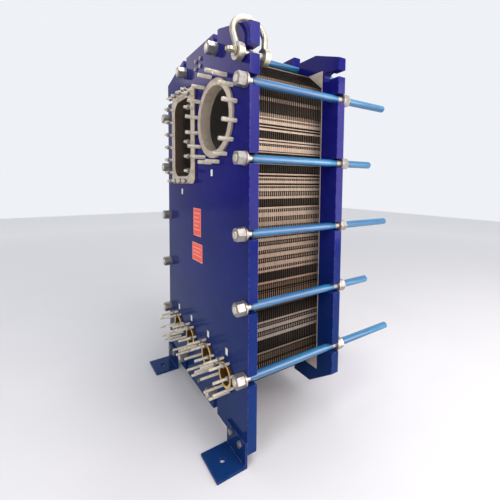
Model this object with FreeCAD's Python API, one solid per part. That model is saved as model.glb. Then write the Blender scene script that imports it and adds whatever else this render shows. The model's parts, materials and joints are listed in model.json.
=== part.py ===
import FreeCAD, Part
import math
import os

# Plate heat exchanger, bolted plate-and-frame type. Millimetres.
# X runs across the plates, Y from the frame plate's face to the rear, Z up from the floor.
# Solids are drawn with y = 0 on the frame plate's front face, then moved back by
# FRONT_Y so that the origin lies under the middle of the whole machine.

# ---- driving dimensions ----
PITCH = 385.0            # height between two side tie bolts
MID_Z = 1235.0           # height of the middle tie bolt
HALF_W = 622.0           # half the width of the frame plate and pressure plate
PLATE_T = 58.0           # thickness of both clamping plates
TOP_Z = 2370.0           # top of the frame plate
BOTTOM_Z = 70.0          # bottom of the frame plate
PRESS_Y = 620.0          # front of the pressure plate
EDGE = 2.0               # chamfer along the clamping plates' outlines

BOLT_X = 584.0           # side tie bolts
END_BOLT_X = 242.0       # top and bottom tie bolts
END_BOLT_RISE = 1036.0   # their height above and below the middle
BOLT_R = 19.5
SLOT_R = 27.0            # half the height of a tie bolt's slot
NUT_AF = 65.0
NUT_H = 48.0
WASHER_R = 38.0
WASHER_H = 10.0
SLEEVE_R = 22.5
RUN = 0.05               # radial running clearance

PACK_W = 488.0           # half the width of a channel plate
PACK_TOP = 2194.0
PACK_BOTTOM = 276.0
PLATE_COUNT = 76
BUNDLES = 6
SHEET_T = 0.8            # thickness of a channel plate
LINER_T = 4.0            # sheet between the pack and the pressure plate
GAP = 0.02               # gap that keeps a moving piece off its neighbour

KEY_X = 533.0            # lifting slots
KEY_Z = 2150.0
KEY_R = 30.0
KEY_SLOT = 21.0          # half height of the slot's mouth

ROUND_X, ROUND_Z, ROUND_R = 240.0, 1872.0, 190.0
RECT_X, RECT_Z, RECT_W, RECT_H, RECT_CORNER = -270.0, 1816.0, 314.0, 547.0, 80.0
DRAIN_X, DRAIN_Z, DRAIN_R = (-390.0, -140.0, 140.0, 390.0), 388.0, 57.0

BAR_W, BAR_BOTTOM, BAR_TOP = 90.0, 2217.0, 2307.0
FLANGE_T, WEB_T = 16.0, 14.0
GUIDE_W, GUIDE_BOTTOM, GUIDE_TOP = 50.0, 116.0, 220.0
COLUMN_Y, COLUMN_W, COLUMN_D = 1208.0, 120.0, 80.0
BASE_FRONT, BASE_BACK = 1178.0, 1313.0

FOOT_REACH = 176.0       # how far a foot stands out in front of the frame plate
FOOT_T, FOOT_W, FOOT_H = 14.0, 200.0, 140.0
FOOT_BOLT_R, FOOT_BOLT_Z = 10.0, 105.0
SCREW_R, SCREW_AF, SCREW_HEAD = 8.0, 24.0, 10.0   # M16 screws of the bars and the hanger

ROW_Z = [MID_Z + k * PITCH for k in (2, 1, 0, -1, -2)]
ROD_END = [1093.0, 965.0, 1152.0, 965.0, 1209.0]   # rear end of each side bolt, top row first
SHORT_END = 965.0
ROD_FRONT = -(WASHER_H + NUT_H + 4.0)
PRESS_BACK = PRESS_Y + PLATE_T
NUT_BACK = PRESS_BACK + WASHER_H + NUT_H + 2 * GAP
SHEET_PITCH = (PRESS_Y - LINER_T - PLATE_T) / PLATE_COUNT
FRONT_Y = -(BASE_BACK - FOOT_REACH) / 2.0

SIDE_BOLTS = [(s * BOLT_X, z, end) for z, end in zip(ROW_Z, ROD_END) for s in (-1, 1)]
END_BOLTS = [(s * END_BOLT_X, MID_Z + t * END_BOLT_RISE, SHORT_END)
             for t in (1, -1) for s in (-1, 1)]
TIE_BOLTS = SIDE_BOLTS + END_BOLTS


# ---- small builders ----
def vec(x, y, z):
    return FreeCAD.Vector(x, y, z)


def box(x0, x1, y0, y1, z0, z1):
    return Part.makeBox(x1 - x0, y1 - y0, z1 - z0, vec(x0, y0, z0))


def rod_y(r, x, z, y0, y1):
    return Part.makeCylinder(r, y1 - y0, vec(x, y0, z), vec(0, 1, 0))


def ring_y(r_out, r_in, x, z, y0, y1):
    return rod_y(r_out, x, z, y0, y1).cut(rod_y(r_in, x, z, y0 - 1, y1 + 1))


def prism(points, y0, y1):
    loop = [vec(x, y0, z) for x, z in points]
    face = Part.Face(Part.makePolygon(loop + loop[:1]))
    return face.extrude(vec(0, y1 - y0, 0))


def hexagon(x, z, across_flats):
    r = across_flats / math.sqrt(3.0)
    turns = [math.radians(60 * k) for k in range(6)]
    return [(x + r * math.cos(a), z + r * math.sin(a)) for a in turns]


def rounded(x, z, width, height, r, y0, y1):
    """A block with four rounded corners, round about the Y direction."""
    block = box(x - width / 2, x + width / 2, y0, y1, z - height / 2, z + height / 2)
    if r <= 0:
        return block
    corners = [e for e in block.Edges if abs(e.tangentAt(e.FirstParameter).y) > 0.9]
    return block.makeFillet(r, corners)


def hex_nut(x, z, across_flats, y0, y1, bore):
    """A hexagon nut whose corners are turned off at both ends."""
    nut = prism(hexagon(x, z, across_flats), y0, y1)
    r = across_flats / 2.0
    tall = (y1 - y0) / 2.0
    mid = (y0 + y1) / 2.0
    slope = 0.35
    for way in (-1, 1):
        cone = Part.makeCone(r + slope * tall + 1.5, r * 1.02, tall, vec(x, mid, z), vec(0, way, 0))
        half = box(x - 2 * r, x + 2 * r, min(mid, mid + way * tall), max(mid, mid + way * tall),
                   z - 2 * r, z + 2 * r)
        keep = nut.common(half).common(cone)
        nut = nut.cut(half).fuse(keep)
    nut = nut.removeSplitter()
    return nut.cut(rod_y(bore, x, z, y0 - 1, y1 + 1))


def hex_bolt(x, z, shank_r, across_flats, y_seat, head, length, way=-1):
    """A hexagon screw; its head stands off the seat towards way along Y."""
    ends = sorted((y_seat, y_seat + way * head))
    shank = sorted((y_seat, y_seat - way * length))
    return prism(hexagon(x, z, across_flats), *ends).fuse(rod_y(shank_r, x, z, *shank)).removeSplitter()


def screw(x, z, y_seat, length, way=-1):
    return hex_bolt(x, z, SCREW_R, SCREW_AF, y_seat, SCREW_HEAD, length, way)


def save(node, solids):
    """Write one node: a single solid, or a group of separate solids."""
    group = solids if isinstance(solids, list) else [solids]
    shape = group[0].copy() if len(group) == 1 else Part.makeCompound(group)
    shape.translate(vec(0, FRONT_Y, 0))
    shape.exportStep("parts/" + node + ".step")


# ---- clamping plates ----
def chamfer_rim(plate):
    """Break the sharp edges around a plate's front and back faces."""
    rim = [e for e in plate.Edges if abs(e.CenterOfMass.y - plate.BoundBox.YMin) < 0.01
           or abs(e.CenterOfMass.y - plate.BoundBox.YMax) < 0.01]
    return plate.makeChamfer(EDGE, rim)


def cut_bolt_slots(plate, y0, y1):
    reach = 400.0
    for x, z, _ in SIDE_BOLTS:
        side = 1 if x > 0 else -1
        ends = sorted((x, x + side * reach))
        plate = plate.cut(box(ends[0], ends[1], y0 - 1, y1 + 1, z - SLOT_R, z + SLOT_R))
        plate = plate.cut(rod_y(SLOT_R, x, z, y0 - 1, y1 + 1))
    for x, z, _ in END_BOLTS:
        ends = sorted((z, z + (reach if z > MID_Z else -reach)))
        plate = plate.cut(box(x - SLOT_R, x + SLOT_R, y0 - 1, y1 + 1, ends[0], ends[1]))
        plate = plate.cut(rod_y(SLOT_R, x, z, y0 - 1, y1 + 1))
    return plate


def cut_lifting_slots(plate, y0, y1):
    for side in (-1, 1):
        ends = sorted((side * KEY_X, side * (HALF_W + 5)))
        plate = plate.cut(rod_y(KEY_R, side * KEY_X, KEY_Z, y0 - 1, y1 + 1))
        plate = plate.cut(box(ends[0], ends[1], y0 - 1, y1 + 1, KEY_Z - KEY_SLOT, KEY_Z + KEY_SLOT))
    return plate


def studs_round():
    turns = [math.radians(11.25 + 22.5 * k) for k in range(16)]
    return [(ROUND_X + 257.5 * math.cos(a), ROUND_Z + 257.5 * math.sin(a)) for a in turns]


def studs_rect():
    """Nineteen studs; the side facing the round port has a gap where the two flanges nearly meet."""
    half_w, half_h = 204.0, 308.0
    far_side = [(-half_w, z) for z in (-240, -144, -48, 48, 144, 240)]
    near_side = [(half_w, z) for z in (-240, -144, -48, 178, 269)]
    ends = [(x, z) for x in (-147, -49, 49, 147) for z in (-half_h, half_h)]
    return [(RECT_X + x, RECT_Z + z) for x, z in far_side + near_side + ends]


def studs_drain():
    turns = [math.radians(22.5 + 45 * k) for k in range(8)]
    return [(x + 90.0 * math.cos(a), DRAIN_Z + 90.0 * math.sin(a)) for x in DRAIN_X for a in turns]


STUD_DEPTH = 34.0
STUD_STEP = 1.0          # the end screwed into the plate is drawn at the thread's core
STUDS = {"gas": (studs_round(), 12.0, 86.0), "vapour": (studs_rect(), 10.0, 76.0),
         "drain": (studs_drain(), 8.0, 128.0)}
FOOT_X = HALF_W - FOOT_W / 2
FOOT_BOLTS = [(s * (FOOT_X + dx), FOOT_BOLT_Z) for s in (-1, 1) for dx in (-50.0, 50.0)]
BAR_BOLTS = [(x, z) for x in (-36.0, 36.0) for z in (2238.0, 2286.0)]
GUIDE_BOLTS = [(0.0, 134.0), (0.0, 200.0)]
HANGER_BOLTS = [(s * 84.0, z) for s in (-1, 1) for z in (2235.0, 2335.0)]


def frame_plate():
    top = [(HALF_W, 2280.0), (290.0, TOP_Z), (-290.0, TOP_Z), (-HALF_W, 2280.0)]
    plate = prism([(-HALF_W, BOTTOM_Z), (HALF_W, BOTTOM_Z)] + top, 0, PLATE_T)
    plate = cut_lifting_slots(cut_bolt_slots(plate, 0, PLATE_T), 0, PLATE_T)
    plate = chamfer_rim(plate)
    plate = plate.cut(rod_y(ROUND_R + 11, ROUND_X, ROUND_Z, -1, PLATE_T + 1))
    plate = plate.cut(rounded(RECT_X, RECT_Z, RECT_W + 22, RECT_H + 22, RECT_CORNER + 11, -1, PLATE_T + 1))
    for x in DRAIN_X:
        plate = plate.cut(rod_y(DRAIN_R + 7, x, DRAIN_Z, -1, PLATE_T + 1))
    for points, r, _ in STUDS.values():
        for x, z in points:
            plate = plate.cut(rod_y(r - STUD_STEP + RUN, x, z, -1, STUD_DEPTH + RUN))
    for x, z in FOOT_BOLTS:
        plate = plate.cut(rod_y(FOOT_BOLT_R + RUN, x, z, -1, 40))
    for x, z in BAR_BOLTS + GUIDE_BOLTS:
        plate = plate.cut(rod_y(SCREW_R + RUN, x, z, -1, PLATE_T + 1))
    return plate


def pressure_plate():
    y0, y1 = PRESS_Y, PRESS_BACK
    shoulder, bottom = 2311.0, 160.0
    right = [(426.0, bottom), (HALF_W, 303.0), (HALF_W, 2240.0), (426.0, shoulder),
             (END_BOLT_X, shoulder), (END_BOLT_X, TOP_Z)]
    left = [(-x, z) for x, z in reversed(right)]
    plate = cut_lifting_slots(cut_bolt_slots(prism(right + left, y0, y1), y0, y1), y0, y1)
    bar_room, guide_room = BAR_W / 2 + 4, GUIDE_W / 2 + 3
    plate = plate.cut(box(-bar_room, bar_room, y0 - 1, y1 + 1, BAR_BOTTOM - 8, TOP_Z + 9))
    plate = plate.cut(box(-guide_room, guide_room, y0 - 1, y1 + 1, bottom - 9, GUIDE_TOP + 8))
    plate = chamfer_rim(plate)
    for x, z in HANGER_BOLTS:
        plate = plate.cut(rod_y(SCREW_R + RUN, x, z, y1 - 36, y1 + 1))
    return plate


# ---- port liners ----
LINER_WALL = 10.0        # wall of the two large liners


def liner_round(x, z, r_in, wall, r_flange, lip):
    tube = rod_y(r_in + wall, x, z, -lip, PLATE_T - 1)
    flange = rod_y(r_flange, x, z, -lip, 0)
    return tube.fuse(flange).removeSplitter().cut(rod_y(r_in, x, z, -lip - 1, PLATE_T))


def liner_rect():
    lip, wall = 12.0, LINER_WALL
    flange = rounded(RECT_X, RECT_Z, 456.0, 650.0, 45.0, -lip, 0)
    tube = rounded(RECT_X, RECT_Z, RECT_W + 2 * wall, RECT_H + 2 * wall, RECT_CORNER + wall, -lip, PLATE_T - 1)
    liner = flange.fuse(tube).removeSplitter()
    liner = liner.cut(rounded(RECT_X, RECT_Z, RECT_W, RECT_H, RECT_CORNER, -lip - 1, PLATE_T))
    for x, z in studs_rect():
        liner = liner.cut(rod_y(STUDS["vapour"][1] + 1, x, z, -lip - 1, 1))
    return liner


def studs(kind):
    points, r, length = STUDS[kind]
    return [rod_y(r, x, z, -length, -GAP).fuse(rod_y(r - STUD_STEP, x, z, -GAP, STUD_DEPTH))
            for x, z in points]


def stud_nuts(kind, points, across_flats, y0, y1):
    return [hex_nut(x, z, across_flats, y0, y1, STUDS[kind][1] + RUN) for x, z in points]


# ---- pack of channel plates ----
def pack_outline(inset):
    """Right half, from the bottom centre up: a plate narrowed by inset all round."""
    w, low, high = PACK_W - inset, PACK_BOTTOM + inset, PACK_TOP - inset
    cut_x, cut_z = 120.0, 104.0
    right = [(w - cut_x, low), (w, low + cut_z), (w, high - cut_z), (w - cut_x, high)]
    return right + [(-x, z) for x, z in reversed(right)]


def cut_ports(sheet, grow, y0, y1):
    sheet = sheet.cut(rod_y(ROUND_R + grow, ROUND_X, ROUND_Z, y0 - 1, y1 + 1))
    sheet = sheet.cut(rounded(RECT_X, RECT_Z, RECT_W + 2 * grow, RECT_H + 2 * grow,
                              RECT_CORNER + grow, y0 - 1, y1 + 1))
    for x in DRAIN_X:
        sheet = sheet.cut(rod_y(DRAIN_R + grow, x, DRAIN_Z, y0 - 1, y1 + 1))
    return sheet


def channel_plate():
    """One pressed sheet with its ports, the hook over the bar and the fork on the guide."""
    t = SHEET_T
    hook_w, hook_top, web_room = 75.0, 2262.0, WEB_T / 2 + 4
    sheet = prism(pack_outline(0), 0, t)
    sheet = sheet.fuse(box(-hook_w, hook_w, 0, t, PACK_TOP - 20, hook_top))
    sheet = sheet.fuse(box(-60, 60, 0, t, 200.0, PACK_BOTTOM + 20)).removeSplitter()
    flange_room = BAR_W / 2 + 5
    sheet = sheet.cut(box(-flange_room, flange_room, -1, t + 1, BAR_BOTTOM - 4, BAR_BOTTOM + FLANGE_T + GAP))
    sheet = sheet.cut(box(-web_room, web_room, -1, t + 1, BAR_BOTTOM, hook_top + 1))
    guide_room = GUIDE_W / 2 + 3
    sheet = sheet.cut(box(-guide_room, guide_room, -1, t + 1, 199.0, GUIDE_TOP + 8))
    return cut_ports(sheet, 0, 0, t)


def gasket():
    """One rubber gasket: a frame around the sheet, with a ring around every port."""
    t = SHEET_PITCH - SHEET_T - 2 * GAP
    strip = 14.0
    ring = prism(pack_outline(6), 0, t).cut(prism(pack_outline(6 + strip), -1, t + 1))
    around = rod_y(ROUND_R + 22, ROUND_X, ROUND_Z, 0, t)
    around = around.fuse(rounded(RECT_X, RECT_Z, RECT_W + 44, RECT_H + 44, RECT_CORNER + 22, 0, t))
    around = around.fuse(box(ROUND_X + ROUND_R, PACK_W - 8, 0, t, ROUND_Z - 8, ROUND_Z + 8))
    around = around.fuse(box(8 - PACK_W, RECT_X, 0, t, RECT_Z - 8, RECT_Z + 8))
    for x in DRAIN_X:
        around = around.fuse(rod_y(DRAIN_R + 18, x, DRAIN_Z, 0, t))
        around = around.fuse(box(x - 8, x + 8, 0, t, PACK_BOTTOM + 8, DRAIN_Z))
    return cut_ports(ring.fuse(around).removeSplitter(), 8, 0, t)


def save_pack():
    """The pack is split into bundles, so that it fans out as the press opens."""
    sheet, seal = channel_plate(), gasket()
    room = BAR_W / 2 + 5
    notched = sheet.cut(box(-room, room, -1, SHEET_T + 1, BAR_BOTTOM - 4, BAR_TOP))
    first = 0
    for n in range(BUNDLES):
        count = PLATE_COUNT // BUNDLES + (1 if n < PLATE_COUNT % BUNDLES else 0)
        sheets, seals = [], []
        for k in range(first, first + count):
            y = PLATE_T + k * SHEET_PITCH
            seals.append(seal.translated(vec(0, y + GAP, 0)))
            pressed = sheet if k else notched      # the first one makes room for the bar's end pad
            sheets.append(pressed.translated(vec(0, y + SHEET_PITCH - SHEET_T, 0)))
        save("channel_plates_%d" % (n + 1), sheets)
        save("gaskets_%d" % (n + 1), seals)
        first += count


def end_liner():
    """Square-cornered sheet that covers the pressure plate behind the pack."""
    y0, y1 = PRESS_Y - LINER_T + GAP, PRESS_Y - GAP
    return box(-PACK_W - 4, PACK_W + 4, y0, y1, PACK_BOTTOM, PACK_TOP)


# ---- tie bolts ----
def tie_bolt(x, z, end):
    bolt = rod_y(BOLT_R, x, z, ROD_FRONT, end)
    tips = [e for e in bolt.Edges if e.Length < 2 * math.pi * BOLT_R + 1 and e.Closed]
    return bolt.makeChamfer(2.5, tips)


def bolt_sleeve(x, z, end):
    """Plastic tube over the thread between the two plates, tapered at its rear end."""
    y0, taper, y1 = 32.0, 590.0, 648.0
    tube = rod_y(SLEEVE_R, x, z, y0, taper)
    nose = Part.makeCone(SLEEVE_R, BOLT_R + 1.0, y1 - taper, vec(x, taper, z), vec(0, 1, 0))
    return tube.fuse(nose).cut(rod_y(BOLT_R + RUN, x, z, y0 - 1, y1 + 1))


def save_tie_bolts():
    seat = PRESS_BACK + GAP
    save("tie_bolts", [tie_bolt(*b) for b in TIE_BOLTS])
    save("bolt_sleeves", [bolt_sleeve(*b) for b in TIE_BOLTS])
    save("front_washers", [ring_y(WASHER_R, BOLT_R + RUN, x, z, -WASHER_H, 0) for x, z, _ in TIE_BOLTS])
    save("front_nuts", [hex_nut(x, z, NUT_AF, -WASHER_H - NUT_H, -WASHER_H, BOLT_R + RUN)
                        for x, z, _ in TIE_BOLTS])
    save("rear_washers", [ring_y(WASHER_R, BOLT_R + RUN, x, z, seat, seat + WASHER_H)
                          for x, z, _ in TIE_BOLTS])
    save("rear_nuts", [hex_nut(x, z, NUT_AF, seat + WASHER_H, seat + WASHER_H + NUT_H, BOLT_R + RUN)
                       for x, z, _ in TIE_BOLTS])
    save("end_sleeves", [ring_y(SLEEVE_R, BOLT_R + RUN, x, z, NUT_BACK + 1, end)
                         for x, z, end in TIE_BOLTS])


# ---- bars and column ----
def carrying_bar():
    half = BAR_W / 2
    web = WEB_T / 2
    low, high = BAR_BOTTOM + FLANGE_T, BAR_TOP - FLANGE_T
    right = [(half, BAR_BOTTOM), (half, low), (web, low), (web, high), (half, high), (half, BAR_TOP)]
    beam = prism(right + [(-x, z) for x, z in reversed(right)], PLATE_T, COLUMN_Y)
    pad = 13.0               # end pads, screwed to the frame plate and to the column
    for y0, y1 in ((PLATE_T, PLATE_T + pad), (COLUMN_Y - pad, COLUMN_Y)):
        beam = beam.fuse(box(-half, half, y0, y1, BAR_BOTTOM, BAR_TOP))
    beam = beam.removeSplitter()
    for x, z in BAR_BOLTS:
        beam = beam.cut(rod_y(SCREW_R + RUN, x, z, PLATE_T - 1, PLATE_T + pad + 1))
        beam = beam.cut(rod_y(SCREW_R + RUN, x, z, COLUMN_Y - pad - 1, COLUMN_Y + 1))
    return beam


def guide_bar():
    bar = box(-GUIDE_W / 2, GUIDE_W / 2, PLATE_T, COLUMN_Y, GUIDE_BOTTOM, GUIDE_TOP)
    for x, z in GUIDE_BOLTS:
        bar = bar.cut(rod_y(SCREW_R + RUN, x, z, PLATE_T - 1, PLATE_T + 40))
        bar = bar.cut(rod_y(SCREW_R + RUN, x, z, COLUMN_Y - 40, COLUMN_Y + 1))
    return bar


def support_column():
    """A channel section, open to the rear, welded to its base plate."""
    wall, base_t, top = 10.0, 15.0, 2330.0
    half = COLUMN_W / 2
    post = box(-half, half, COLUMN_Y, COLUMN_Y + COLUMN_D, base_t, top)
    post = post.cut(box(wall - half, half - wall, COLUMN_Y + wall, COLUMN_Y + COLUMN_D + 1, base_t, top + 1))
    post = post.fuse(box(-70, 70, BASE_FRONT, BASE_BACK, 0, base_t)).removeSplitter()
    for x in (-45.0, 45.0):
        post = post.cut(Part.makeCylinder(9, 20, vec(x, COLUMN_Y - 15, -1)))
    for x, z in BAR_BOLTS + GUIDE_BOLTS:
        post = post.cut(rod_y(SCREW_R + RUN, x, z, COLUMN_Y - 1, COLUMN_Y + wall + 1))
    return post


def column_bolts():
    seat = COLUMN_Y + 10.0
    short = [screw(x, z, seat, 23, 1) for x, z in BAR_BOLTS]
    return short + [screw(x, z, seat, 45, 1) for x, z in GUIDE_BOLTS]


# ---- hanger of the pressure plate ----
ROLLER_R = 28.0
ROLLER_Y = PRESS_BACK + 48.0
ROLLER_Z = BAR_TOP + ROLLER_R
AXLE_R, AXLE_END = 8.0, 68.0
CHEEK_IN, CHEEK_OUT, CHEEK_SIDE = 50.0, 60.0, 108.0   # inner and outer face of a web, end of its flange
CHEEK_FLANGE = 12.0
CHEEK_BOTTOM, CHEEK_TOP = 2212.0, 2364.0


def hanger_cheek(side):
    """One cheek of the hanger: a flange on the pressure plate and a web beside the bar."""
    web = sorted((side * CHEEK_IN, side * CHEEK_OUT))
    flange = sorted((side * CHEEK_IN, side * CHEEK_SIDE))
    seat, flange_back = PRESS_BACK + GAP, PRESS_BACK + CHEEK_FLANGE
    cheek = box(web[0], web[1], seat, ROLLER_Y + 32, CHEEK_BOTTOM, CHEEK_TOP)
    cheek = cheek.fuse(box(flange[0], flange[1], seat, flange_back, CHEEK_BOTTOM, CHEEK_TOP))
    cheek = cheek.removeSplitter()
    cheek = cheek.cut(Part.makeCylinder(AXLE_R + RUN, 300, vec(-150, ROLLER_Y, ROLLER_Z), vec(1, 0, 0)))
    for x, z in HANGER_BOLTS:
        cheek = cheek.cut(rod_y(SCREW_R + RUN, x, z, PRESS_BACK - 1, PRESS_BACK + 13))
    return cheek


def save_hanger():
    along = vec(1, 0, 0)
    save("hanger_cheeks", [hanger_cheek(-1), hanger_cheek(1)])
    axle = Part.makeCylinder(AXLE_R, 2 * AXLE_END, vec(-AXLE_END, ROLLER_Y, ROLLER_Z), along)
    head = Part.makeCylinder(AXLE_R + 5, 6, vec(-AXLE_END, ROLLER_Y, ROLLER_Z), along)
    save("roller_axle", axle.fuse(head).removeSplitter())
    roller = Part.makeCylinder(ROLLER_R - RUN, 84, vec(-42, ROLLER_Y, ROLLER_Z), along)
    save("hanger_roller", roller.cut(Part.makeCylinder(AXLE_R + RUN, 90, vec(-45, ROLLER_Y, ROLLER_Z), along)))
    save("hanger_bolts", [screw(x, z, PRESS_BACK + CHEEK_FLANGE, 44, 1) for x, z in HANGER_BOLTS])


# ---- feet ----
def foot(side):
    x = side * FOOT_X
    upright = box(x - FOOT_W / 2, x + FOOT_W / 2, -FOOT_T, 0, 0, FOOT_H)
    sole = box(x - FOOT_W / 2, x + FOOT_W / 2, -FOOT_REACH, 0, 0, FOOT_T)
    bracket = upright.fuse(sole).removeSplitter()
    bracket = bracket.cut(Part.makeCylinder(15, FOOT_T + 2, vec(x, -96, -1)))
    for bolt_x, z in FOOT_BOLTS:
        bracket = bracket.cut(rod_y(FOOT_BOLT_R + RUN, bolt_x, z, -FOOT_T - 1, 1))
    return bracket


# ---- lifting shackle ----
PIN_R = 19.0
PIN_X = 552.0            # the pin lies in the mouth of the lifting slot
PIN_Z = KEY_Z - KEY_SLOT + PIN_R + 0.3
SHACKLE_Y = 52.0         # middle of the bow
SHACKLE_R = 17.0         # radius of the bow's round bar
EYE_R, EYE_OFFSET = 44.0, 78.0
BOW_R = 97.0
BOW_RISE = 103.0
SHACKLE_TILT = 12.0      # degrees that the bow leans inwards, nearly onto the plate's top edge


def shackle_bow():
    """Two eyes on the pin, two legs that spread upwards and a round bow over the plate's edge."""
    leg_start = 20.0         # inside the eye, so that the leg grows out of it
    spread = (BOW_R - EYE_OFFSET) / BOW_RISE
    foot_y = EYE_OFFSET + leg_start * spread
    feet = [vec(PIN_X, SHACKLE_Y + s * foot_y, PIN_Z + leg_start) for s in (-1, 1)]
    hips = [vec(PIN_X, SHACKLE_Y + s * BOW_R, PIN_Z + BOW_RISE) for s in (-1, 1)]
    crown = vec(PIN_X, SHACKLE_Y, PIN_Z + BOW_RISE + BOW_R)
    arc = Part.Arc(hips[0], crown, hips[1]).toShape()
    spine = Part.Wire([Part.makeLine(feet[0], hips[0]), arc, Part.makeLine(hips[1], feet[1])])
    rim = Part.Wire(Part.makeCircle(SHACKLE_R, feet[0], hips[0] - feet[0]))
    bow = spine.makePipeShell([rim], True, False, 2)
    for s in (-1, 1):
        y = SHACKLE_Y + s * EYE_OFFSET
        bow = bow.fuse(rod_y(EYE_R, PIN_X, PIN_Z, y - SHACKLE_R, y + SHACKLE_R))
    through = EYE_OFFSET + 2 * SHACKLE_R
    hole = rod_y(PIN_R + RUN, PIN_X, PIN_Z, SHACKLE_Y - through, SHACKLE_Y + through)
    bow = bow.removeSplitter().cut(hole)
    bow.rotate(vec(PIN_X, 0, PIN_Z), vec(0, 1, 0), -SHACKLE_TILT)
    return bow


def shackle_pin():
    """Screw pin with a collar and a flat eyed head in front of the bow's front eye."""
    collar, head_r, half_t, eye_hole, neck_w = 5.0, 22.0, 8.0, 9.0, 28.0
    clear = 5.0              # keeps the collar off the leg that grows out of the eye
    front = SHACKLE_Y - EYE_OFFSET - SHACKLE_R - clear
    back = SHACKLE_Y + EYE_OFFSET + SHACKLE_R + clear
    neck = front - collar
    eye_y = neck - head_r
    pin = rod_y(PIN_R, PIN_X, PIN_Z, front, back).fuse(rod_y(PIN_R + collar, PIN_X, PIN_Z, neck, front))
    head = Part.makeCylinder(head_r, 2 * half_t, vec(PIN_X, eye_y, PIN_Z - half_t))
    head = head.fuse(box(PIN_X - neck_w / 2, PIN_X + neck_w / 2, eye_y + neck_w / 2, neck,
                         PIN_Z - half_t, PIN_Z + half_t))
    head = head.cut(Part.makeCylinder(eye_hole, 2 * half_t, vec(PIN_X, eye_y, PIN_Z - half_t)))
    return pin.fuse(head).removeSplitter()


# ---- plates with data and small tags, all blank ----
def label_plates():
    t = 1.2
    upper = box(-94, 31, -t, 0, 1135, 1324)
    lower = box(-116, 54, -t, 0, 962, 1087)
    return [upper, lower]


def port_tags():
    t = 1.0
    spots = [(195.0, 1557.0), (-309.0, 1431.0)] + [(x, DRAIN_Z + 136) for x in DRAIN_X]
    return [box(x - 13, x + 13, -t, 0, z - 20, z + 20) for x, z in spots]


def main():
    os.makedirs("parts", exist_ok=True)
    save("frame_plate", frame_plate())
    save("pressure_plate", pressure_plate())
    save("gas_port_liner", liner_round(ROUND_X, ROUND_Z, ROUND_R, LINER_WALL, 229, 12))
    save("vapour_port_liner", liner_rect())
    save("drain_port_liners", [liner_round(x, DRAIN_Z, DRAIN_R, 6, 74, 14) for x in DRAIN_X])
    for kind in STUDS:
        save(kind + "_port_studs", studs(kind))
    save("vapour_stud_nuts", stud_nuts("vapour", studs_rect(), 30, -58, -42))
    save("drain_stud_nuts", stud_nuts("drain", [p for p in studs_drain() if p[1] > DRAIN_Z], 24, -47, -34))
    save_pack()
    save("end_liner", end_liner())
    save_tie_bolts()
    save("carrying_bar", carrying_bar())
    save("carrying_bar_bolts", [screw(x, z, 0, PLATE_T + 12) for x, z in BAR_BOLTS])
    save("guide_bar", guide_bar())
    save("guide_bar_bolts", [screw(x, z, 0, PLATE_T + 34) for x, z in GUIDE_BOLTS])
    save("support_column", support_column())
    save("column_bolts", column_bolts())
    save_hanger()
    save("foot_brackets", [foot(-1), foot(1)])
    save("foot_bolts", [hex_bolt(x, z, FOOT_BOLT_R, 30, -FOOT_T, 13, FOOT_T + 38) for x, z in FOOT_BOLTS])
    save("shackle_bow", shackle_bow())
    save("shackle_pin", shackle_pin())
    save("label_plates", label_plates())
    save("port_tags", port_tags())


main()
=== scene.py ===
import json
import math

import bpy
from mathutils import Matrix, Vector


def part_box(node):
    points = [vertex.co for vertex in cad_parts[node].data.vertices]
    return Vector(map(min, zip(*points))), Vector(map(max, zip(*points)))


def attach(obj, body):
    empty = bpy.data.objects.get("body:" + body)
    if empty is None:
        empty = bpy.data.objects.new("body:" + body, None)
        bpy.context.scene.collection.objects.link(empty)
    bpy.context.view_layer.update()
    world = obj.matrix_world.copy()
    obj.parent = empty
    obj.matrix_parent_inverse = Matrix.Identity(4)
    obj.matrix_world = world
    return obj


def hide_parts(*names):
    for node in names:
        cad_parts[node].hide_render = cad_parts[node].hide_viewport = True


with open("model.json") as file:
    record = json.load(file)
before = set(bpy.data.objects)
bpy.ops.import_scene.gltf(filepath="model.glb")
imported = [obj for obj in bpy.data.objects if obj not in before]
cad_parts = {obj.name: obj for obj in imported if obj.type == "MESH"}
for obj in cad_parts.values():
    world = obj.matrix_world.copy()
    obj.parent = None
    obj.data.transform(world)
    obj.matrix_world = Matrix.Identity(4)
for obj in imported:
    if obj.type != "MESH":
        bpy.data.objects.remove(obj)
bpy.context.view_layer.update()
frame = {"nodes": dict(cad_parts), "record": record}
NODES = frame["nodes"]

# Plate heat exchanger. Metres, in the CAD frame: X across the plates, -Y towards the ports, +Z up.
# The lists below are millimetres with y = 0 on the frame plate's face, as the CAD source has them.
FRONT_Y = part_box("frame_plate")[0][1]
PITCH, MID_Z = 385.0, 1235.0
ROD_ENDS = (1093.0, 965.0, 1152.0, 965.0, 1209.0)      # rear ends of the side rods, top row first
SIDE_RODS = [(s * 584.0, MID_Z + (2 - k) * PITCH, end) for k, end in enumerate(ROD_ENDS) for s in (-1, 1)]
RODS = SIDE_RODS + [(s * 242.0, MID_Z + t * 1036.0, 965.0) for t in (1, -1) for s in (-1, 1)]
ROD_R, SLEEVE_R, ROD_FRONT = 19.5, 22.5, -62.0
NUT_FRONT, NUT_BACK = (-58.0, -10.0), (688.02, 736.02)
SHEETS, BUNDLES, SHEET_T = 76, 6, 0.8
PACK_FRONT, PACK_BACK = 58.0, 616.0
SHEET_PITCH = (PACK_BACK - PACK_FRONT) / SHEETS
PACK_W, PACK_LOW, PACK_HIGH = 488.0, 276.0, 2194.0
ROUND = (240.0, 1872.0, 190.0)
RECT = (-270.0, 1816.0, 314.0, 547.0)
DRAINS = [(x, 388.0) for x in (-390.0, -140.0, 140.0, 390.0)]


# ---- meshes ----
THREAD_DEPTH, FLANK = 0.55, 1.35         # a thread's depth in pitches, and how steep its flanks are


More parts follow.
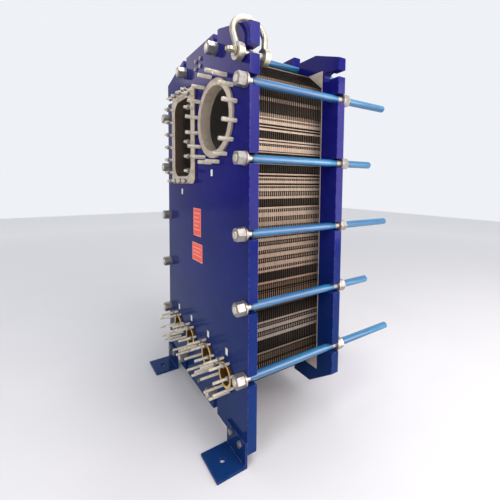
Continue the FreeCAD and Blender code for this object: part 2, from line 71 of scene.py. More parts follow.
class Shape:
    """Collects points in millimetres and faces for one piece."""

    def __init__(self):
        self.points, self.faces = [], []

    def add(self, points, faces):
        first = len(self.points)
        self.points += points
        self.faces += [[first + i for i in face] for face in faces]

    def box(self, x0, x1, y0, y1, z0, z1):
        corners = [(x, y, z) for x in (x0, x1) for y in (y0, y1) for z in (z0, z1)]
        self.add(corners, [(0, 1, 3, 2), (4, 6, 7, 5), (0, 4, 5, 1),
                           (2, 3, 7, 6), (0, 2, 6, 4), (1, 5, 7, 3)])

    def rings(self, rings, ends=(True, True)):
        """A skin over rings of equal length, closed by a face at each end that is asked for."""
        n = len(rings[0])
        faces = [(a * n + i, a * n + (i + 1) % n, (a + 1) * n + (i + 1) % n, (a + 1) * n + i)
                 for a in range(len(rings) - 1) for i in range(n)]
        if ends[0]:
            faces.append(tuple(reversed(range(n))))
        if ends[1]:
            faces.append(tuple((len(rings) - 1) * n + i for i in range(n)))
        self.add([p for ring in rings for p in ring], faces)

    def lathe(self, x, z, profile, sides=32, ends=(True, True)):
        """A turned part about the Y direction; the profile is a list of (radius, y)."""
        turns = [2 * math.pi * i / sides for i in range(sides)]
        rings = [[(x + r * math.cos(a), y, z + r * math.sin(a)) for a in turns] for r, y in profile]
        self.rings(rings, ends)

    def thread(self, x, z, r, pitch, y0, y1, sides=20, steps=4):
        """A helical thread with a chamfer at each end."""
        depth = THREAD_DEPTH * pitch
        count = max(2, int(round((y1 - y0) / pitch * steps)))
        rings = []
        for j in range(count + 1):
            y = y0 + (y1 - y0) * j / count
            room = min(y - y0, y1 - y) / pitch
            ring = []
            for i in range(sides):
                phase = (y / pitch + i / sides) % 1.0
                crest = abs(2 * phase - 1)
                rr = r - depth * (1 - min(1.0, FLANK * crest))
                rr = min(rr, r - depth + depth * min(1.0, room))
                a = 2 * math.pi * i / sides
                ring.append((x + rr * math.cos(a), y, z + rr * math.sin(a)))
            rings.append(ring)
        self.rings(rings)

    def piece(self, name, material, body="root", angle=35.0, stands_for=(), slot=None):
        mesh = bpy.data.meshes.new(name)
        metres = [(x / 1000, FRONT_Y + y / 1000, z / 1000) for x, y, z in self.points]
        mesh.from_pydata(metres, [], self.faces)
        mesh.validate()
        mesh.shade_smooth()
        mesh.set_sharp_from_angle(angle=math.radians(angle))
        mesh.materials.append(material)
        obj = bpy.data.objects.new(name, mesh)
        bpy.context.scene.collection.objects.link(obj)
        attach(obj, body)
        if stands_for:
            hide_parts(*stands_for)
        return obj


# ---- node materials ----
NOISE_ROUGHNESS, COAT_ROUGHNESS = 0.55, 0.08


class Paint:
    """A Principled material and short ways to feed it from procedural nodes."""

    def __init__(self, name, metallic=0.0, coat=0.0):
        self.mat = bpy.data.materials.new(name)
        self.mat.use_nodes = True
        self.tree = self.mat.node_tree
        self.bsdf = self.tree.nodes["Principled BSDF"]
        self.bsdf.inputs["Metallic"].default_value = metallic
        self.bsdf.inputs["Coat Weight"].default_value = coat
        self.bsdf.inputs["Coat Roughness"].default_value = COAT_ROUGHNESS
        self.place = self.node("ShaderNodeTexCoord").outputs["Object"]

    def node(self, kind, **settings):
        made = self.tree.nodes.new(kind)
        for key, value in settings.items():
            setattr(made, key, value)
        return made

    def plug(self, source, target):
        if hasattr(source, "is_output"):
            self.tree.links.new(source, target)
        else:
            target.default_value = source

    def noise(self, scale, detail=5.0, stretch=(1, 1, 1)):
        spread = self.node("ShaderNodeMapping")
        spread.inputs["Scale"].default_value = stretch
        self.plug(self.place, spread.inputs["Vector"])
        tex = self.node("ShaderNodeTexNoise")
        tex.inputs["Scale"].default_value = scale
        tex.inputs["Detail"].default_value = detail
        tex.inputs["Roughness"].default_value = NOISE_ROUGHNESS
        self.plug(spread.outputs["Vector"], tex.inputs["Vector"])
        return tex.outputs["Fac"]

    def cells(self, scale):
        tex = self.node("ShaderNodeTexVoronoi")
        tex.inputs["Scale"].default_value = scale
        self.plug(self.place, tex.inputs["Vector"])
        return tex.outputs["Color"]

    def ramp(self, factor, stops):
        made = self.node("ShaderNodeValToRGB")
        bar = made.color_ramp
        while len(bar.elements) < len(stops):
            bar.elements.new(1.0)
        for element, (place, colour) in zip(bar.elements, stops):
            element.position = place
            element.color = (*colour, 1)
        self.plug(factor, made.inputs["Fac"])
        return made.outputs["Color"]

    def span(self, value, low, high, to_low=0.0, to_high=1.0):
        made = self.node("ShaderNodeMapRange")
        for key, number in (("From Min", low), ("From Max", high), ("To Min", to_low), ("To Max", to_high)):
            made.inputs[key].default_value = number
        self.plug(value, made.inputs["Value"])
        return made.outputs["Result"]

    def mix(self, factor, a, b, mode="MIX"):
        made = self.node("ShaderNodeMix", data_type="RGBA", blend_type=mode)
        self.plug(factor, made.inputs["Factor"])
        for socket, value in ((made.inputs[6], a), (made.inputs[7], b)):
            self.plug(value if hasattr(value, "is_output") else (*value[:3], 1), socket)
        return made.outputs[2]

    def maths(self, kind, a, b=0.5):
        made = self.node("ShaderNodeMath", operation=kind)
        self.plug(a, made.inputs[0])
        self.plug(b, made.inputs[1])
        return made.outputs[0]

    def height(self):
        split = self.node("ShaderNodeSeparateXYZ")
        self.plug(self.place, split.inputs[0])
        return split.outputs["Z"]

    def edge_mask(self, radius=0.004):
        """1 on edges, 0 on flats, from how far a bevelled normal turns away from the true one."""
        bevel = self.node("ShaderNodeBevel", samples=4)
        bevel.inputs["Radius"].default_value = radius
        true = self.node("ShaderNodeNewGeometry").outputs["True Normal"]
        dot = self.node("ShaderNodeVectorMath", operation="DOT_PRODUCT")
        self.plug(bevel.outputs["Normal"], dot.inputs[0])
        self.plug(true, dot.inputs[1])
        return self.span(dot.outputs["Value"], 0.99, 0.9)

    def near_rim(self):
        """1 within about 20 mm of the pack's sides and top."""
        spot = self.node("ShaderNodeSeparateXYZ")
        self.plug(self.place, spot.inputs[0])
        out = self.maths("ABSOLUTE", spot.outputs["X"])
        corner = self.span(self.maths("ADD", out, spot.outputs["Z"]), 2.525, 2.54)
        return self.maths("MAXIMUM", self.maths("MAXIMUM", self.span(out, 0.46, 0.475), corner),
                          self.span(spot.outputs["Z"], 2.17, 2.185))

    def sideways(self):
        """1 on surfaces that face across the plates, such as cut edges and bores."""
        normal = self.node("ShaderNodeSeparateXYZ")
        self.plug(self.node("ShaderNodeNewGeometry").outputs["True Normal"], normal.inputs[0])
        return self.maths("LESS_THAN", self.maths("ABSOLUTE", normal.outputs["Y"]), 0.7)

    def pack_shade(self):
        """1 where painted shade goes: on the sheets' cut edges inside the ports and on their faces near the
        outer rim.
        """
        differs = self.maths("ABSOLUTE", self.maths("SUBTRACT", self.near_rim(), self.sideways()))
        return self.maths("MULTIPLY", differs, 0.97)

    def bump(self, height, strength=0.2, distance=0.001):
        made = self.node("ShaderNodeBump")
        made.inputs["Strength"].default_value = strength
        made.inputs["Distance"].default_value = distance
        self.plug(height, made.inputs["Height"])
        self.plug(made.outputs["Normal"], self.bsdf.inputs["Normal"])

    def done(self, colour, rough):
        self.plug(colour if hasattr(colour, "is_output") else (*colour, 1), self.bsdf.inputs["Base Color"])
        self.plug(rough, self.bsdf.inputs["Roughness"])
        return self.mat


def blue_paint():
    """Deep gloss ultramarine: orange peel, a thin dust film, scuffs and paler worn edges."""
    p = Paint("blue_paint")
    p.bsdf.inputs["IOR"].default_value = 1.17
    broad, fine = p.noise(2.2), p.noise(42.0)
    colour = p.mix(p.span(broad, 0.35, 0.7), (0.006, 0.007, 0.115), (0.012, 0.011, 0.165))
    # painted light: the paint takes a teal cast that grows towards the floor, standing in for how the lower
    # front is lit
    low = p.span(p.height(), 1.5, 0.1)
    colour = p.mix(p.maths("MULTIPLY", low, 0.6), colour, (0.002, 0.040, 0.095))
    dust = p.span(p.noise(7.0, 8.0), 0.52, 0.85, 0.0, 0.12)
    colour = p.mix(dust, colour, (0.06, 0.075, 0.20))
    wear = p.maths("MULTIPLY", p.edge_mask(), p.span(fine, 0.42, 0.6))
    colour = p.mix(wear, colour, (0.10, 0.08, 0.34))
    scuff = p.span(p.noise(1.0, 6.0, (3, 90, 5)), 0.60, 0.75)
    rough = p.span(p.maths("ADD", p.maths("MULTIPLY", scuff, 0.4), dust), 0.0, 0.8, 0.11, 0.34)
    p.bump(p.noise(150.0, 3.0), 0.10, 0.0006)
    return p.done(colour, rough)


def brushed(name, pale, dark, rough, stretch=(1, 1, 1), metallic=0.9, scale=14.0,
            stain=None, bore=None):
    """Worn bare metal: directional brushing, cloudy stains and small dents.
    bore is the tone of the surfaces that face across the plates."""
    p = Paint(name, metallic=metallic)
    cloud = p.span(p.noise(scale), 0.3, 0.7)
    lines = p.noise(160.0, 3.0, stretch)
    colour = p.mix(cloud, dark, pale)
    colour = p.mix(p.span(lines, 0.35, 0.7, 0.0, 0.35), colour, tuple(c * 0.6 for c in pale))
    if stain:
        colour = p.mix(p.span(p.noise(scale * 2.3, 9.0), 0.56, 0.72, 0.0, 0.8), colour, stain)
    if bore:
        colour = p.mix(p.sideways(), colour, p.mix(cloud, bore, tuple(c * 1.5 for c in bore)))
    finish = p.span(p.maths("ADD", lines, cloud), 0.4, 1.6, rough + 0.14, rough - 0.08)
    p.bump(p.maths("ADD", lines, p.maths("MULTIPLY", p.noise(60.0), 1.5)), 0.16, 0.0007)
    return p.done(colour, finish)


def galvanised():
    """Hot-dip zinc with dull spangle and yellowish chromate patches."""
    p = Paint("galvanised", metallic=0.8)
    spangle = p.node("ShaderNodeSeparateColor")
    p.plug(p.cells(55.0), spangle.inputs[0])
    colour = p.mix(p.span(spangle.outputs[0], 0, 1, 0, 0.5), (0.47, 0.46, 0.41), (0.29, 0.28, 0.25))
    colour = p.mix(p.span(p.noise(26.0), 0.45, 0.62, 0, 0.75), colour, (0.50, 0.44, 0.27))
    p.bump(p.noise(90.0), 0.3, 0.001)
    return p.done(colour, p.span(spangle.outputs[1], 0, 1, 0.34, 0.52))


def plastic(name, base, worn, rough, scale=30.0, coat=0.0):
    """Moulded plastic or print: slight mottling, rubbed patches, fine pits."""
    p = Paint(name, coat=coat)
    rub = p.span(p.noise(scale, 7.0), 0.5, 0.75, 0.0, 0.6)
    colour = p.mix(rub, base, worn)
    p.bump(p.noise(220.0, 2.0), 0.12, 0.0004)
    return p.done(colour, p.span(rub, 0.0, 0.6, rough, rough + 0.2))


def sleeve():
    """Thin blue tube over a thread: lengthwise draw marks whose lighter streaks are partly painted
    highlight, and darker patches.
    """
    p = Paint("blue_sleeve", coat=0.4)
    # partly painted highlight: the lighter lengthwise streaks stand in for highlights, over real draw marks
    draw_marks_and_highlight = p.span(p.noise(38.0, 4.0, (1, 0.03, 1)), 0.38, 0.64)
    colour = p.mix(draw_marks_and_highlight, (0.010, 0.085, 0.21), (0.030, 0.185, 0.34))
    colour = p.mix(p.span(p.noise(6.0, 4.0), 0.5, 0.7, 0.0, 0.35), colour, (0.012, 0.060, 0.17))
    p.bump(p.noise(60.0, 3.0, (1, 5, 1)), 0.14, 0.0008)
    return p.done(colour, p.span(draw_marks_and_highlight, 0.0, 1.0, 0.30, 0.16))


def rubber():
    p = Paint("gasket_rubber")
    p.bsdf.inputs["IOR"].default_value = 1.15
    dust = p.span(p.noise(35.0, 8.0), 0.45, 0.75, 0.0, 0.35)
    p.bump(p.noise(300.0, 2.0), 0.2, 0.0004)
    colour = p.mix(dust, (0.008, 0.008, 0.009), (0.030, 0.025, 0.021))
    return p.done(colour, p.span(dust, 0, 0.35, 0.55, 0.85))


def pack_sheet(name, inner_shade=0.0):
    """Pressed stainless, darker and lighter in layers by height that run around the pack."""
    p = Paint(name, metallic=0.6)
    p.bsdf.inputs["Specular IOR Level"].default_value = 0.2
    wander = p.span(p.noise(3.0), 0.3, 0.7, -0.012, 0.012)
    z = p.span(p.maths("ADD", p.height(), wander), 0.276, 2.194)
    tones = [(0.00, (0.13, 0.095, 0.07)), (0.10, (0.20, 0.14, 0.10)), (0.16, (0.36, 0.31, 0.26)),
             (0.225, (0.33, 0.26, 0.21)), (0.25, (0.16, 0.11, 0.08)), (0.29, (0.32, 0.19, 0.11)),
             (0.35, (0.34, 0.25, 0.185)), (0.41, (0.36, 0.27, 0.205)), (0.50, (0.36, 0.28, 0.21)),
             (0.60, (0.40, 0.32, 0.24)), (0.70, (0.42, 0.34, 0.26)), (0.80, (0.42, 0.34, 0.26)),
             (0.90, (0.34, 0.26, 0.19)), (1.00, (0.22, 0.15, 0.10))]
    colour = p.ramp(z, tones)
    streak = p.noise(5.0, 6.0, (1, 26, 1))
    colour = p.mix(p.span(streak, 0.45, 0.7, 0.0, 0.55), colour, (0.17, 0.12, 0.09))
    if inner_shade:
        # painted shade: away from the rim the sheet colour is dimmed to a fraction, for the shade between
        # the sheets
        colour = p.mix(p.near_rim(), (0.27, 0.24, 0.21), p.mix(1.0, colour, (inner_shade,) * 3, "MULTIPLY"))
        # painted shade: the cut edges in the ports and the sheet faces near the rim go almost black
        colour = p.mix(p.pack_shade(), colour, (0.010, 0.008, 0.007))
    spot = p.noise(120.0, 4.0)
    p.bump(spot, 0.15, 0.0005)
    return p.done(colour, p.span(spot, 0.3, 0.7, 0.36, 0.58))


PAINT = blue_paint()
LINER = brushed("port_stainless", (0.72, 0.61, 0.48), (0.54, 0.44, 0.33), 0.40, (1, 1, 12), 0.35,
                stain=(0.40, 0.29, 0.19))
STAINED = brushed("vapour_stainless", (0.80, 0.69, 0.55), (0.60, 0.50, 0.38), 0.40, (1, 1, 12), 0.35,
                  stain=(0.40, 0.29, 0.19), bore=(0.085, 0.058, 0.042))
GOLD = brushed("drain_gold", (0.95, 0.74, 0.26), (0.86, 0.52, 0.12), 0.26, (1, 1, 6), 0.5,
               stain=(0.66, 0.56, 0.32), bore=(0.16, 0.075, 0.02))
ZINC = brushed("zinc_plate", (0.47, 0.45, 0.42), (0.28, 0.26, 0.24), 0.44, (1, 8, 1), scale=40.0,
               stain=(0.50, 0.40, 0.30))
THREAD = brushed("bolt_steel", (0.84, 0.77, 0.65), (0.58, 0.51, 0.40), 0.34, (1, 1, 1), 0.6, scale=50.0)
TURNED = brushed("roller_steel", (0.50, 0.50, 0.51), (0.36, 0.36, 0.37), 0.28, (30, 1, 1))
SLEEVE = sleeve()
LABEL = plastic("label_orange", (0.92, 0.075, 0.032), (0.92, 0.15, 0.08), 0.35)
LABEL_PALE = plastic("label_pale", (0.92, 0.50, 0.42), (0.88, 0.34, 0.26), 0.4)
TAG = plastic("tag_white", (0.80, 0.80, 0.76), (0.62, 0.60, 0.54), 0.45)
CLIP = plastic("clip_white", (0.78, 0.77, 0.72), (0.55, 0.50, 0.42), 0.5, 60.0)
GALV = galvanised()
RUBBER = rubber()
SHEET = pack_sheet("channel_stainless", inner_shade=0.16)
RIM = pack_sheet("pack_rim")
SLOT_MATERIAL = {"blue_paint": PAINT, "port_stainless": LINER, "drain_gold": GOLD, "blue_sleeve": SLEEVE,
                 "label_orange": LABEL, "tag_white": TAG, "galvanised": GALV, "roller_steel": TURNED,
                 "bolt_steel": THREAD, "channel_stainless": SHEET, "gasket_rubber": RUBBER,
                 "zinc_plate": ZINC}
for row in frame["record"]["subparts"]:
    skin = NODES[row["node"]].data.materials
    skin.clear()
    skin.append(STAINED if row["node"] == "vapour_port_liner" else SLOT_MATERIAL[row["material_slot"]])


# ---- fasteners ----
def nut(shape, x, z, across, y0, y1, bore):
    """A hexagon nut: turned chamfers leave arcs on the flats, and the bore is countersunk."""
    sides, r, top = 48, across / 2.0, across * 0.47
    turns = [2 * math.pi * i / sides for i in range(sides)]
    reach = [r / math.cos(a % (math.pi / 3) - math.pi / 6) for a in turns]
    drop = [max(0.0, (q - top) * math.tan(math.radians(30))) for q in reach]

    def ring(radius, level):
        return [(x + radius(i) * math.cos(a), level(i), z + radius(i) * math.sin(a))
                for i, a in enumerate(turns)]
    rim = 0.9
    loops = [ring(lambda i: bore, lambda i: y0 + rim * 1.5),
             ring(lambda i: bore + rim * 1.5, lambda i: y0),
             ring(lambda i: top, lambda i: y0),
             ring(lambda i: reach[i], lambda i: y0 + drop[i]),
             ring(lambda i: reach[i], lambda i: y1 - drop[i]),
             ring(lambda i: top, lambda i: y1),
             ring(lambda i: bore + rim * 1.5, lambda i: y1),
             ring(lambda i: bore, lambda i: y1 - rim * 1.5)]
    shape.rings(loops + loops[:1], (False, False))


def save_nuts(name, spots, across, y0, y1, bore, body="root"):
    shape = Shape()
    for x, z in spots:
        nut(shape, x, z, across, y0, y1, bore)
    shape.piece(name + "_chamfered", ZINC, body, 28.0, (name,), "zinc_plate")


def save_studs(name, spots, r, pitch, length):
    shape = Shape()
    for x, z in spots:
        shape.thread(x, z, r, pitch, -length, -1.0)
        shape.lathe(x, z, [(r - pitch * 0.6, -1.0), (r - pitch * 0.6, 33.0)], 16)
    shape.piece(name + "_threaded", THREAD, "root", 60.0, (name,), "zinc_plate")


def ring_of(x, z, r, count, first):
    turns = [math.radians(first + 360.0 * k / count) for k in range(count)]
    return [(x + r * math.cos(a), z + r * math.sin(a)) for a in turns]


ROD_PITCH, ROD_CORE = 4.5, ROD_R - 1.6
BARE_FRONT, BARE_BACK, ROD_TIP = -50.0, (580.0, 745.0), 14.0     # where thread shows as the press opens


def save_fasteners():
    """Tie rods, threaded only where a sleeve or a nut doesn't hide them, and all nuts and studs."""
    rods = Shape()
    for x, z, end in RODS:
        rods.thread(x, z, ROD_R, ROD_PITCH, ROD_FRONT, BARE_FRONT, 28, 5)
        rods.lathe(x, z, [(ROD_CORE, BARE_FRONT), (ROD_CORE, BARE_BACK[0])], 24)
        rods.thread(x, z, ROD_R, ROD_PITCH, *BARE_BACK, 28, 5)
        rods.lathe(x, z, [(ROD_CORE, BARE_BACK[1]), (ROD_CORE, end - ROD_TIP)], 24)
        rods.thread(x, z, ROD_R, ROD_PITCH, end - ROD_TIP, end, 28, 5)
    rods.piece("threaded_rods", THREAD, "root", 60.0, ("tie_bolts",), "bolt_steel")

    spots = [(x, z) for x, z, _ in RODS]
    save_nuts("front_nuts", spots, 65.0, *NUT_FRONT, ROD_R + 0.05)
    save_nuts("rear_nuts", spots, 65.0, *NUT_BACK, ROD_R + 0.05, "pressure_plate")

    rx, rz = RECT[:2]
    vapour = [(rx - 204, rz + z) for z in (-240, -144, -48, 48, 144, 240)]
    vapour += [(rx + 204, rz + z) for z in (-240, -144, -48, 178, 269)]
    vapour += [(rx + x, rz + z) for x in (-147, -49, 49, 147) for z in (-308, 308)]
    drain = [p for x, z in DRAINS for p in ring_of(x, z, 90.0, 8, 22.5)]
    save_studs("gas_port_studs", ring_of(ROUND[0], ROUND[1], 257.5, 16, 11.25), 12.0, 3.0, 86.0)
    save_studs("vapour_port_studs", vapour, 10.0, 2.5, 76.0)
    save_studs("drain_port_studs", drain, 8.0, 2.0, 128.0)
    save_nuts("vapour_stud_nuts", vapour, 30.0, -58.0, -42.0, 10.05)
    save_nuts("drain_stud_nuts", [p for p in drain if p[1] > DRAINS[0][1]], 24.0, -47.0, -34.0, 8.05)


def save_sleeves():
    """Extruded sleeves: a rolled lip, faint draw rings and a tapered rear nose."""
    long, short = Shape(), Shape()
    inner = ROD_R + 0.05
    for x, z, end in RODS:
        body = [(inner, 33.0), (inner + 1.5, 32.0), (SLEEVE_R, 33.2)]
        body += [(SLEEVE_R - (0.25 if k % 2 else 0.0), 60.0 + 24.0 * k) for k in range(22)]
        body += [(SLEEVE_R, 590.0), (SLEEVE_R - 0.4, 596.0), (ROD_R + 1.0, 647.0), (inner, 648.0)]
        long.lathe(x, z, body + body[:1], 36, (False, False))
        y0 = NUT_BACK[1] + 1.0
        reach = end - y0
        tube = [(inner, y0), (SLEEVE_R - 0.8, y0), (SLEEVE_R, y0 + 1.2)]
        tube += [(SLEEVE_R - (0.25 if k % 2 else 0.0), y0 + 8 + (reach - 20) * k / 9) for k in range(10)]
        tube += [(SLEEVE_R, end - 3.0), (SLEEVE_R - 1.2, end - 0.4), (inner + 0.6, end), (inner, end - 1.0)]
        short.lathe(x, z, tube + tube[:1], 36, (False, False))
    long.piece("bolt_sleeves_drawn", SLEEVE, "root", 40.0, ("bolt_sleeves",), "blue_sleeve")
    short.piece("end_sleeves_drawn", SLEEVE, "pressure_plate", 40.0, ("end_sleeves",), "blue_sleeve")


# ---- plate pack ----
# Bands around the pack, in mm above the floor, read from the photograph: (top, bottom, kind).
# t folded tab, d tab set back, o narrow nub, c comb of thin edges, e edges that stand apart.
BANDS = [(2084, 2052, "d"), (2046, 2014, "d"), (2008, 1950, "c"), (1950, 1923, "e"), (1923, 1860, "c"),
         (1860, 1838, "d"), (1838, 1828, "t"), (1828, 1820, "o"), (1820, 1796, "t"), (1788, 1780, "t"),
         (1772, 1759, "t"), (1759, 1717, "c"), (1717, 1706, "t"), (1701, 1688, "t"), (1686, 1678, "o"),
         (1677, 1648, "t"), (1645, 1638, "t"), (1624, 1611, "t"), (1605, 1572, "t"), (1568, 1531, "c"),
         (1526, 1515, "t"), (1506, 1496, "t"), (1496, 1488, "o"), (1487, 1467, "t"), (1460, 1452, "t"),
         (1452, 1445, "o"), (1444, 1422, "t"), (1420, 1400, "o"), (1399, 1380, "t"), (1378, 1344, "c"),
         (1339, 1326, "t"), (1326, 1312, "o"), (1312, 1284, "t"), (1284, 1263, "o"), (1263, 1235, "t"),
         (1235, 1224, "o"), (1218, 1174, "t"), (1170, 1148, "t"), (1145, 1129, "o"), (1126, 1099, "t"),
         (1099, 1085, "o"), (1082, 1055, "t"), (1052, 1036, "o"), (1033, 1006, "t"), (1006, 995, "o"),
         (995, 979, "t"), (979, 935, "c"), (933, 916, "t"), (914, 908, "o"), (908, 886, "d"),
         (881, 872, "o"), (870, 826, "o"), (820, 776, "d"), (772, 711, "c"), (711, 696, "t"),
         (692, 679, "o"), (676, 651, "t"), (646, 627, "o"), (624, 600, "t"), (597, 537, "c"),
         (531, 515, "t"), (510, 470, "d"), (464, 436, "o"), (420, 386, "d")]
# How far those readings were out, in mm, measured by comparing renders with the photograph, as
# (height, shift).
DRIFT = [(350, -15), (600, -15), (729, -13.5), (822, -11), (933, -3), (1044, 6), (1156, 9.7),
         (1267, 12), (1379, 21), (1490, 23), (1600, 24), (1713, 25), (1830, 26), (1923, 25),
         (1950, 22), (2008, 16), (2014, 14), (2046, 6), (2052, 4), (2084, 2), (2200, 0)]
RIM_LOW, RIM_HIGH = 382, 2087            # the bands end where the pack's corners are cut
RISE, RISE_LOW, RISE_HIGH = 4, 940, 2060     # a second, smaller correction, and where it fades out


def drifted(z):
    """A height moved by the shift at that height, straight between the measured ones."""
    for (low, at_low), (high, at_high) in zip(DRIFT, DRIFT[1:]):
        if low <= z <= high:
            return z + at_low + (at_high - at_low) * (z - low) / (high - low)
    return z


def raised(z):
    if RISE_LOW <= z <= RISE_HIGH:
        return z + min(RISE, (z - RISE_LOW) / 30, (RISE_HIGH - z) / 8)
    return z


def rim_bands():
    """The bands at their corrected heights, in whole millimetres, top first."""
    for top, low, kind in BANDS:
        high_edge = round(min(drifted(top), RIM_HIGH))
        low_edge = round(max(drifted(low), RIM_LOW))
        yield round(raised(high_edge)), round(raised(low_edge)), kind


# For each kind, on even and odd sheets: where the tab starts and ends in the gap, and how deep it sits.
TAB_SPAN = {("t", 0): (0.2, 6.25, 0.0), ("t", 1): (1.0, 6.1, 0.9), ("d", 0): (1.0, 6.0, 2.5),
            ("d", 1): (2.6, 5.2, 4.0), ("o", 0): (1.4, 5.2, 0.4), ("c", 0): (5.3, 6.25, 0.8),
            ("e", 0): (1.4, 6.2, 0.0)}
TALL_BAND, TRIM, ODD_TRIM = 14, 1.0, 2.2     # odd sheets' tabs are shorter in a band taller than TALL_BAND


def bundle_ranges():
    """(bundle number, its first sheet, its count of sheets)"""
    first = 0
    for n in range(BUNDLES):
        count = SHEETS // BUNDLES + (1 if n < SHEETS % BUNDLES else 0)
        yield n + 1, first, count
        first += count


def tab(shape, side, face, depth, y0, y1, z0, z1):
    """One folded rim tab: a shallow bowed strip between two sheets."""
    bow, thick = 0.5, 0.7
    across = [(y0, face - bow), (y0 + (y1 - y0) * 0.28, face),
              (y0 + (y1 - y0) * 0.72, face), (y1, face - bow)]
    outer = [(side * (x - depth), y) for y, x in across]
    inner = [(side * (x - depth - thick), y) for y, x in reversed(across)]
    ring = outer + inner
    shape.rings([[(x, y, z0) for x, y in ring], [(x, y, z1) for x, y in ring]])


def save_rims():
    """Folded rims, hung on each sheet and standing in the gap in front of it."""
    bands = list(rim_bands())
    for n, first, count in bundle_ranges():
        rim, clips = Shape(), Shape()
        for k in range(first, first + count):
            back = PACK_FRONT + (k + 1) * SHEET_PITCH - SHEET_T
            front = back - (SHEET_PITCH - SHEET_T) + 0.25
            mid = (front + back) / 2
            for side in (-1, 1):
                for top, low, kind in bands:
                    if (kind, k % 2) in TAB_SPAN:
                        y0, y1, depth = TAB_SPAN[kind, k % 2]
                        trim = TRIM + (ODD_TRIM if k % 2 and top - low > TALL_BAND else 0.0)
                        tab(rim, side, PACK_W - 0.2, depth, front + y0, front + y1, low + trim, top - trim)
                for x, z in ((372.0, 2184.0), (470.0, 2094.0))[:2 - k % 2]:
                    rim.box(*sorted((side * (x - 8), side * (x + 7))), mid - 2.6, mid + 2.6, z - 7, z + 4)
            for x in (-350.0, -215.0, 215.0, 350.0):
                shift = 6.0 if k % 2 else -6.0
                clips.box(x + shift - 5, x + shift + 5, mid - 2.4, mid + 2.6,
                          PACK_HIGH - 6, PACK_HIGH + 2.4)
        body = "root" if n == 1 else "bundle_%d" % n
        rim.piece("pack_rim_%d" % n, RIM, body, 40.0, slot="channel_stainless")
        clips.piece("gasket_clips_%d" % n, CLIP, body, slot="tag_white")


def inside_field(x, z):
    """Whether a point lies on the pressed part of a sheet, clear of ports and gasket."""
    if abs(x) > PACK_W - 26 or not PACK_LOW + 130 < z < PACK_HIGH - 26:
        return False
    if abs(x) + z > PACK_W + PACK_HIGH - 140 or math.hypot(x - ROUND[0], z - ROUND[1]) < ROUND[2] + 32:
        return False
    if abs(x - RECT[0]) < RECT[2] / 2 + 32 and abs(z - RECT[1]) < RECT[3] / 2 + 32:
        return False
    return all(math.hypot(x - dx, z - dz) > 57 + 28 for dx, dz in DRAINS)


def save_chevrons():
    """Herringbone corrugation on the rear sheet of each bundle, seen when the pack opens."""
    step, pitch, half, rise, slope = 22.0, 21.0, 7.5, 2.2, 0.6
    for n, first, count in list(bundle_ranges())[:-1]:
        face = PACK_FRONT + (first + count) * SHEET_PITCH
        ridges = Shape()
        for arm in (-1, 1):
            for row in range(int(PACK_LOW), int(PACK_HIGH) + 320, int(pitch)):
                for cell in range(int(PACK_W / step) + 1):
                    xs = (cell * step, (cell + 1) * step)
                    zs = [row - slope * v for v in xs]
                    if not all(inside_field(arm * v, z) for v, z in zip(xs, zs)):
                        continue
                    rings = [[(arm * v, face, z - half), (arm * v, face + rise, z - 1.5),
                              (arm * v, face + rise, z + 1.5), (arm * v, face, z + half)]
                             for v, z in zip(xs, zs)]
                    ridges.rings(rings)
        body = "root" if n == 1 else "bundle_%d" % n
        ridges.piece("chevrons_%d" % n, SHEET, body, 50.0, slot="channel_stainless")


# ---- labels, welds and small parts ----
def save_labels():
    """Raised border, corner rivets and blank fields; nothing is written on them."""
    pale, rivets = Shape(), Shape()
    face = -1.6
    for x0, x1, z0, z1 in ((-94, 31, 1135, 1324), (-116, 54, 962, 1087)):
        for a, b, c, d in ((x0, x1, z1 - 5, z1 - 2), (x0, x1, z0 + 2, z0 + 5),
                           (x0 + 2, x0 + 5, z0, z1), (x1 - 5, x1 - 2, z0, z1)):
            pale.box(a, b, face, -1.15, c, d)
        rows = 5 if z1 - z0 > 150 else 3
        for k in range(rows):
            z = z1 - 32 - k * (z1 - z0 - 50) / rows
            pale.box(x0 + 16, x1 - 16 - 22 * (k % 2), face, -1.15, z - 5, z)
        for x in (x0 + 9, x1 - 9):
            for z in (z0 + 9, z1 - 9):
                rivets.lathe(x, z, [(0.3, -4.0), (2.6, -3.4), (4.2, -1.9), (4.4, -1.1)], 16)
    pale.piece("label_fields", LABEL_PALE, slot="tag_white")
    rivets.piece("label_rivets", ZINC, slot="zinc_plate")


def save_welds():
    """Fillet welds along the feet and the column's base plate, with a rippled bead."""
    beads = Shape()

    def bead(start, end, r=5.0):
        steps = max(8, int((Vector(end) - Vector(start)).length / 3.0))
        along = (Vector(end) - Vector(start)).normalized()
        across = Vector((0, 0, 1))
        side = along.cross(across)
        rings = []
        for j in range(steps + 1):
            spot = Vector(start).lerp(Vector(end), j / steps)
            rr = r * (0.86 + 0.14 * math.cos(j * 2.1)) * (0.6 if j in (0, steps) else 1.0)
            rings.append([tuple(spot + side * rr * math.cos(a) + across * rr * math.sin(a))
                          for a in (2 * math.pi * i / 10 for i in range(10))])
        beads.rings(rings)
    for side in (-1, 1):
        x = side * 522.0
        bead((x - 96, -15.0, 14.0), (x + 96, -15.0, 14.0))
    for y in (1207.0, 1289.0):
        bead((-58, y, 15.0), (58, y, 15.0), 4.0)
    beads.piece("weld_beads", PAINT, angle=60.0, slot="blue_paint")


save_fasteners()
save_sleeves()
save_rims()
save_chevrons()
save_labels()
save_welds()


# ---- camera, floor and light ----
# The photograph's camera, as a fit to where the tie bolts appear in it gave it: its place in metres, and
# the directions of its right, its top and its back.
CAMERA_SPOT = (1.92698, -1.39970, 1.49446)
CAMERA_AXES = ((0.538977, 0.842293, 0.006856), (-0.056725, 0.028174, 0.997992),
               (0.840408, -0.538284, 0.062964))
LENS_MM, SENSOR_MM, SHIFT = 22.46, 36.0, -0.094


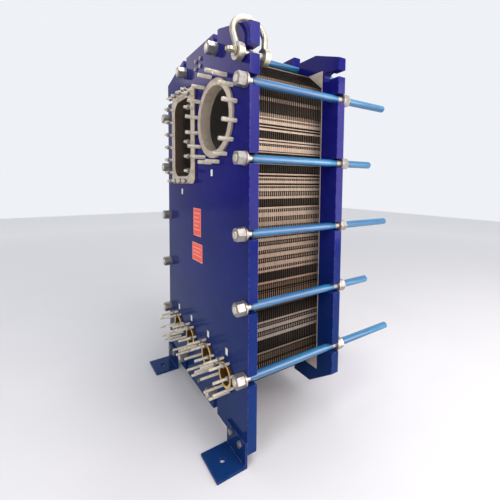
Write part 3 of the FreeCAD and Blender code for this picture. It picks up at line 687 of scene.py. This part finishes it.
def make_camera():
    cam = bpy.data.objects.new("camera", bpy.data.cameras.new("camera"))
    turn = Matrix([Vector(axis) for axis in CAMERA_AXES]).transposed().to_4x4()
    cam.matrix_world = Matrix.Translation(CAMERA_SPOT) @ turn
    cam.data.sensor_width = SENSOR_MM
    cam.data.lens = LENS_MM
    cam.data.shift_y = SHIFT
    bpy.context.scene.collection.objects.link(cam)
    bpy.context.scene.camera = cam


def make_floor():
    """A pale floor that brightens with distance, so that it fades into the world."""
    mesh = bpy.data.meshes.new("floor")
    half = 14.0
    corners = [(-half, -half, 0), (half, -half, 0), (half, half, 0), (-half, half, 0)]
    mesh.from_pydata(corners, [], [(0, 1, 2, 3)])
    floor = bpy.data.objects.new("floor", mesh)
    bpy.context.scene.collection.objects.link(floor)
    p = Paint("floor_pale")
    far = p.node("ShaderNodeVectorMath", operation="LENGTH")
    p.plug(p.place, far.inputs[0])
    near = p.mix(p.noise(1.5), (0.56, 0.56, 0.57), (0.60, 0.60, 0.61))
    colour = p.mix(p.span(far.outputs["Value"], 2.0, 9.0), near, (0.90, 0.90, 0.91))
    mesh.materials.append(p.done(colour, 0.7))


def area_light(name, spot, aim, size, watts, colour=(1, 1, 1)):
    data = bpy.data.lights.new(name, "AREA")
    data.shape = "RECTANGLE"
    data.size, data.size_y = size
    data.energy = watts
    data.color = colour
    lamp = bpy.data.objects.new(name, data)
    lamp.location = spot
    lamp.rotation_euler = (Vector(aim) - Vector(spot)).to_track_quat("-Z", "Y").to_euler()
    bpy.context.scene.collection.objects.link(lamp)


def make_light():
    world = bpy.data.worlds.new("studio")
    bpy.context.scene.world = world
    world.use_nodes = True
    tree = world.node_tree
    place = tree.nodes.new("ShaderNodeTexCoord")
    turn = tree.nodes.new("ShaderNodeVectorMath")
    turn.operation = "DOT_PRODUCT"
    turn.inputs[1].default_value = (-0.105, 0.9945, 0.15)
    ramp = tree.nodes.new("ShaderNodeValToRGB")
    ramp.color_ramp.interpolation = "EASE"
    ramp.color_ramp.elements[0].position, ramp.color_ramp.elements[1].position = 0.0, 0.5
    ramp.color_ramp.elements[0].color = (0.26, 0.27, 0.30, 1)
    ramp.color_ramp.elements[1].color = (0.86, 0.88, 0.92, 1)
    shift = tree.nodes.new("ShaderNodeMath")
    shift.inputs[1].default_value = 0.5
    tree.links.new(place.outputs["Generated"], turn.inputs[0])
    tree.links.new(turn.outputs["Value"], shift.inputs[0])
    tree.links.new(shift.outputs[0], ramp.inputs["Fac"])
    tree.links.new(ramp.outputs["Color"], tree.nodes["Background"].inputs["Color"])
    area_light("key", (5.2, 0.9, 4.2), (0.3, 0.0, 1.2), (3.0, 3.0), 200, (1.0, 0.90, 0.86))
    area_light("sheen", (4.3, 2.7, 1.9), (0.5, 0.1, 1.2), (2.6, 3.2), 135, (1.0, 0.86, 0.86))
    area_light("glare", (-4.2, -3.3, 4.6), (0.1, -0.57, 2.2), (2.6, 1.8), 26, (1.0, 0.86, 0.90))
    area_light("fill", (2.6, -4.8, 3.0), (-0.1, -0.5, 1.3), (2.2, 2.2), 115, (0.96, 0.97, 1.0))
    area_light("top", (1.0, -0.2, 4.6), (0.6, 0.0, 1.2), (0.6, 3.5), 105, (0.97, 0.98, 1.0))


make_camera()
make_floor()
make_light()
bpy.context.scene.view_settings.view_transform = "Standard"
